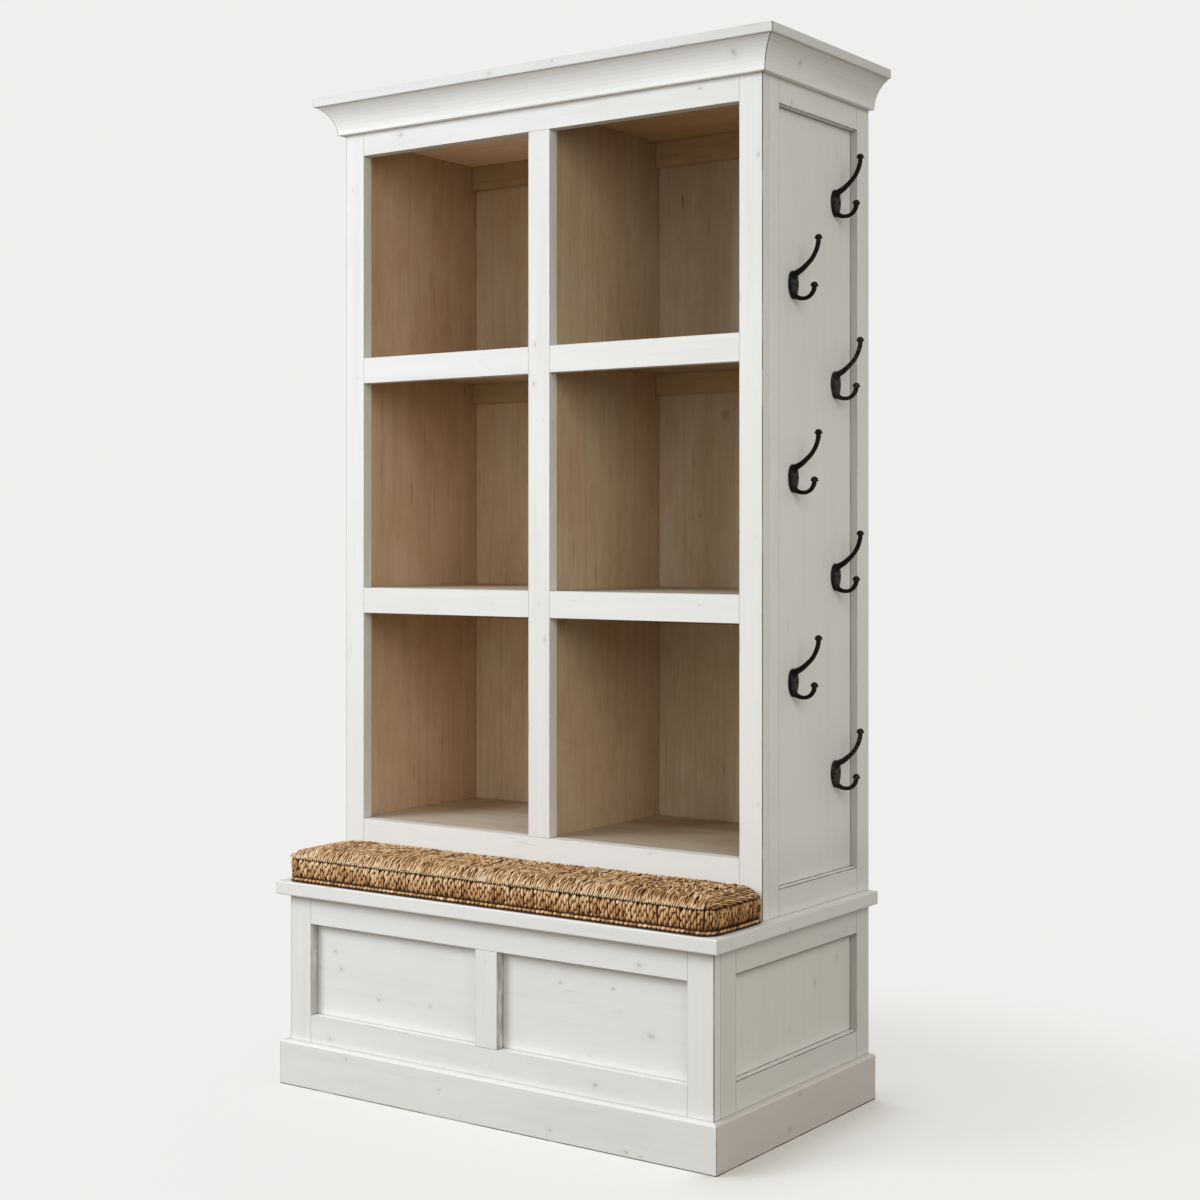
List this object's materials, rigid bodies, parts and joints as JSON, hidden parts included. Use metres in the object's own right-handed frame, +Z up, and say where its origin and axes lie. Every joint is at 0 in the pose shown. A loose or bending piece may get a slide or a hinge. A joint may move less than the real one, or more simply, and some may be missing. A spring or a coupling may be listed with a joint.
{
  "type": "mudroom locker unit",
  "caption": "Open tower of cubbies on a panelled bench base with a loose woven pad, a cove crown and double coat hooks on one side.",
  "frame": {"origin": "on the floor, under the middle of the whole unit's box", "axes": "+Z up, +X to the hook side, which is the viewer's right, +Y towards the wall"},
  "size_m": [1.102, 0.5946, 2.012],
  "materials": {
    "white_pine": "distressed white wash on knotty pine, matt",
    "inner_pine": "greyed, lightly washed pine, matt",
    "cast_iron": "black, waxed casting with rubbed edges",
    "seagrass": "natural twisted seagrass cord, woven"
  },
  "bodies": {
    "cabinet": {"base_stile_left": "white_pine", "base_stile_right": "white_pine", "base_stile_middle": "white_pine", "base_rail_top": "white_pine", "base_rail_bottom": "white_pine", "base_panel_left": "white_pine", "base_panel_right": "white_pine", "base_side_board_left": "white_pine", "base_side_board_right": "white_pine", "base_side_frame_left": "white_pine", "base_side_frame_right": "white_pine", "plinth_front": "white_pine", "plinth_left": "white_pine", "plinth_right": "white_pine", "bench_top": "white_pine", "tower_stile_left": "white_pine", "tower_stile_right": "white_pine", "tower_mullion": "white_pine", "tower_rail_top": "white_pine", "tower_rail_bottom": "white_pine", "shelf_rail_lower_left": "white_pine", "shelf_rail_lower_right": "white_pine", "shelf_rail_upper_left": "white_pine", "shelf_rail_upper_right": "white_pine", "tower_side_board_left": "white_pine", "tower_side_board_right": "white_pine", "tower_side_frame_left": "white_pine", "tower_side_frame_right": "white_pine", "crown_cove_front": "white_pine", "crown_cove_left": "white_pine", "crown_cove_right": "white_pine", "crown_cap": "white_pine", "base_floor": "inner_pine", "base_back": "inner_pine", "base_partition": "inner_pine", "tower_back": "inner_pine", "tower_ceiling": "inner_pine", "tower_partition": "inner_pine", "tower_floor_left": "inner_pine", "tower_floor_right": "inner_pine", "shelf_lower_left": "inner_pine", "shelf_lower_right": "inner_pine", "shelf_upper_left": "inner_pine", "shelf_upper_right": "inner_pine", "cleat_lower_left": "inner_pine", "cleat_lower_right": "inner_pine", "cleat_middle_left": "inner_pine", "cleat_middle_right": "inner_pine", "cleat_upper_left": "inner_pine", "cleat_upper_right": "inner_pine", "coat_hook_1": "cast_iron", "coat_hook_2": "cast_iron", "coat_hook_3": "cast_iron", "coat_hook_4": "cast_iron", "coat_hook_5": "cast_iron", "coat_hook_6": "cast_iron", "coat_hook_7": "cast_iron"},
    "cushion": {"seat_cushion": "seagrass"}
  },
  "joints": [
    {"name": "cushion_lift", "type": "slide", "parent": "cabinet", "child": "cushion", "axis": [0, 0, 1], "range_m": [0, 0.2]}
  ]
}
